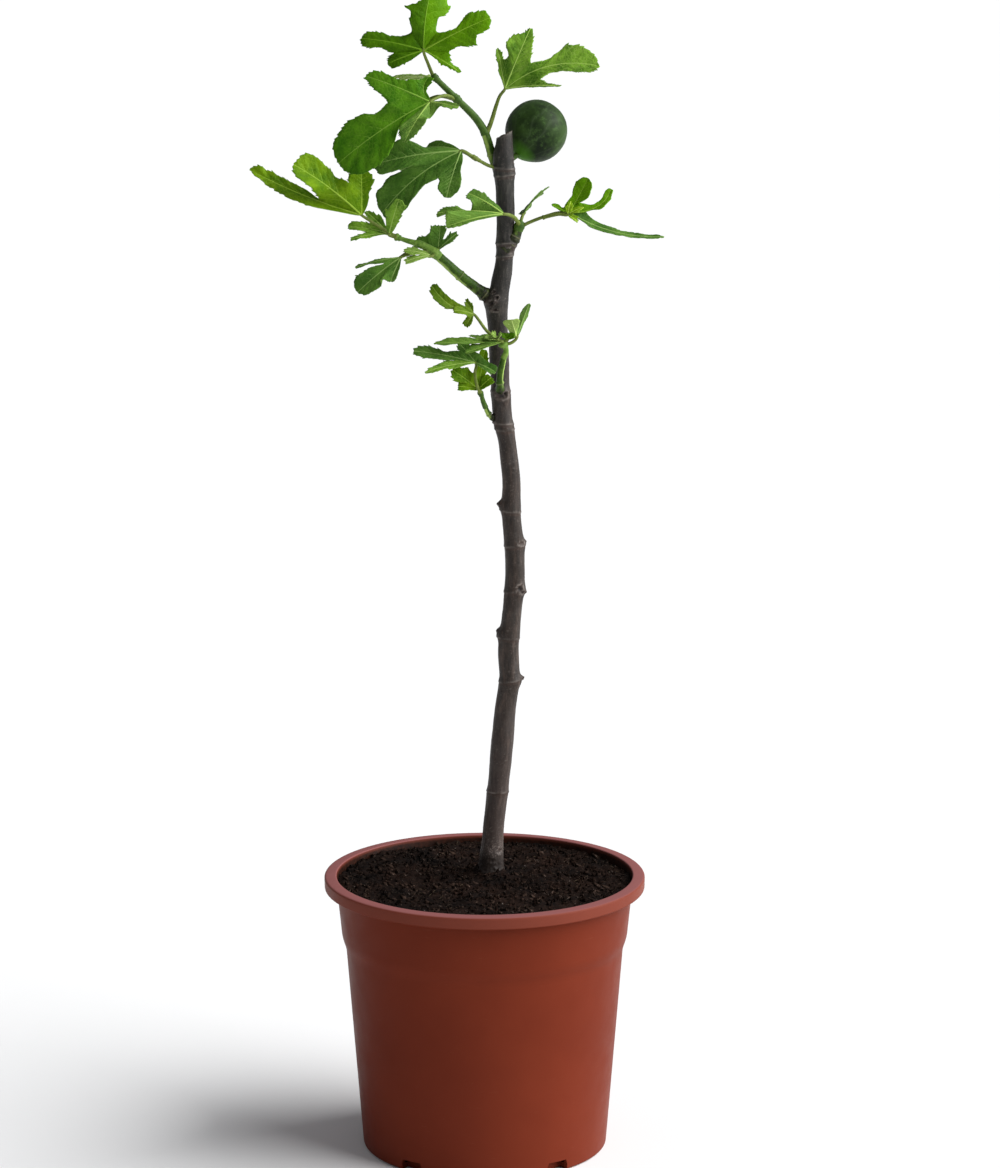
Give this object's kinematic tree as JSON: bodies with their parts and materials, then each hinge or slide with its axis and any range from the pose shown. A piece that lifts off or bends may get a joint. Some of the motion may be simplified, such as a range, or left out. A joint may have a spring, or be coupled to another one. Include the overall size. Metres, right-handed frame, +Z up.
{
  "type": "potted fig tree",
  "caption": "Young fig tree with one crooked woody stem, short leafy shoots and a single fruit, standing in a round tapered nursery pot full of compost.",
  "frame": {"origin": "middle of the pot's flat underside", "axes": "+Z up along the pot's axis and the stem, +X to the tree's right and +Y to its back, seen from the front"},
  "size_m": [0.2881, 0.23, 0.8324],
  "materials": {
    "pot_plastic": "satin",
    "compost": "matte",
    "bark": "matte",
    "green_shoot": "satin",
    "leaf": "matte",
    "fig_skin": "satin"
  },
  "bodies": {
    "root": {"pot": "pot_plastic", "compost": "compost", "trunk": "bark", "bough_top": "green_shoot", "bough_left": "green_shoot", "bough_right": "green_shoot", "bough_front": "green_shoot", "bough_low": "green_shoot", "foliage_top": "leaf", "foliage_upper_left": "leaf", "foliage_left": "leaf", "foliage_right": "leaf", "foliage_front": "leaf", "foliage_low": "leaf", "fig_fruit": "fig_skin"}
  },
  "joints": []
}
